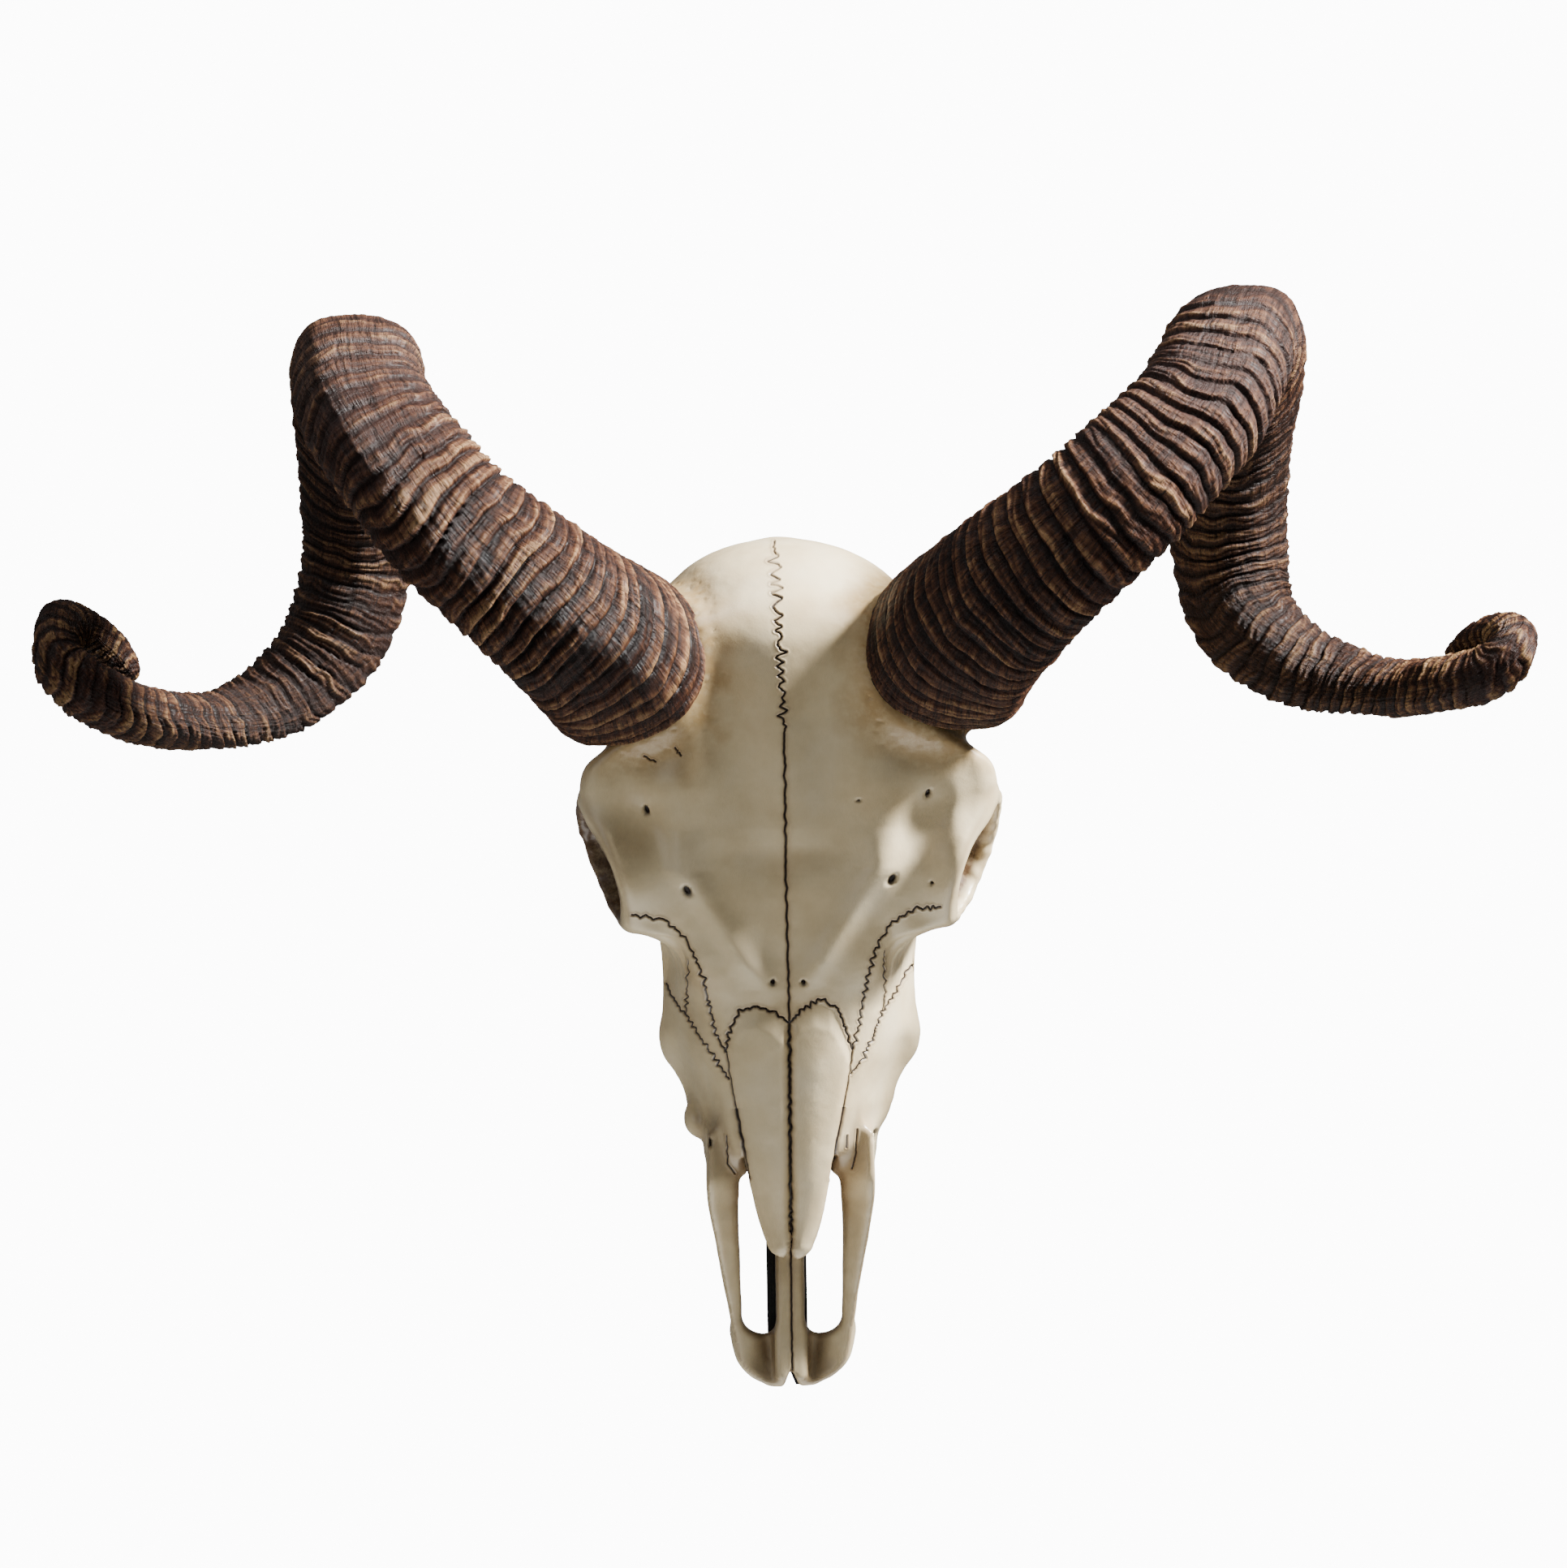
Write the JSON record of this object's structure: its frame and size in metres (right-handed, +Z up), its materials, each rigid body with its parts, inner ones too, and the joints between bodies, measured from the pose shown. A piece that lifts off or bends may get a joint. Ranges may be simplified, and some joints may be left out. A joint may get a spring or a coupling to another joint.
{
  "type": "ram skull wall trophy",
  "caption": "Life-size cast ram skull with ridged, curled horns, hung nose down on a wall by a hanger plate in its black backing board.",
  "frame": {"origin": "on the flat back of the backing board, where it touches the wall, on the skull's middle line and 96 mm below the crown of the head", "axes": "+Z up, +X to the right of a viewer facing the skull, -Y out of the wall towards the viewer"},
  "size_m": [0.5209, 0.1641, 0.3857],
  "materials": {
    "bone": "cream painted casting resin with brown stain rubbed into the sutures and hollows, satin gloss",
    "horn": "dark brown painted casting resin with lighter dry-brushed ridges, satin gloss",
    "black": "black painted, matte",
    "steel": "zinc plated sheet steel"
  },
  "bodies": {
    "root": {"backing_board": "black", "cranium": "bone", "hanger_plate": "steel", "horn_left_crown": "horn", "horn_left_root": "horn", "horn_left_shank": "horn", "horn_left_tip": "horn", "horn_right_crown": "horn", "horn_right_root": "horn", "horn_right_shank": "horn", "horn_right_tip": "horn", "maxilla": "bone", "nasal_left": "bone", "nasal_right": "bone", "premaxilla_left": "bone", "premaxilla_right": "bone"}
  },
  "joints": []
}
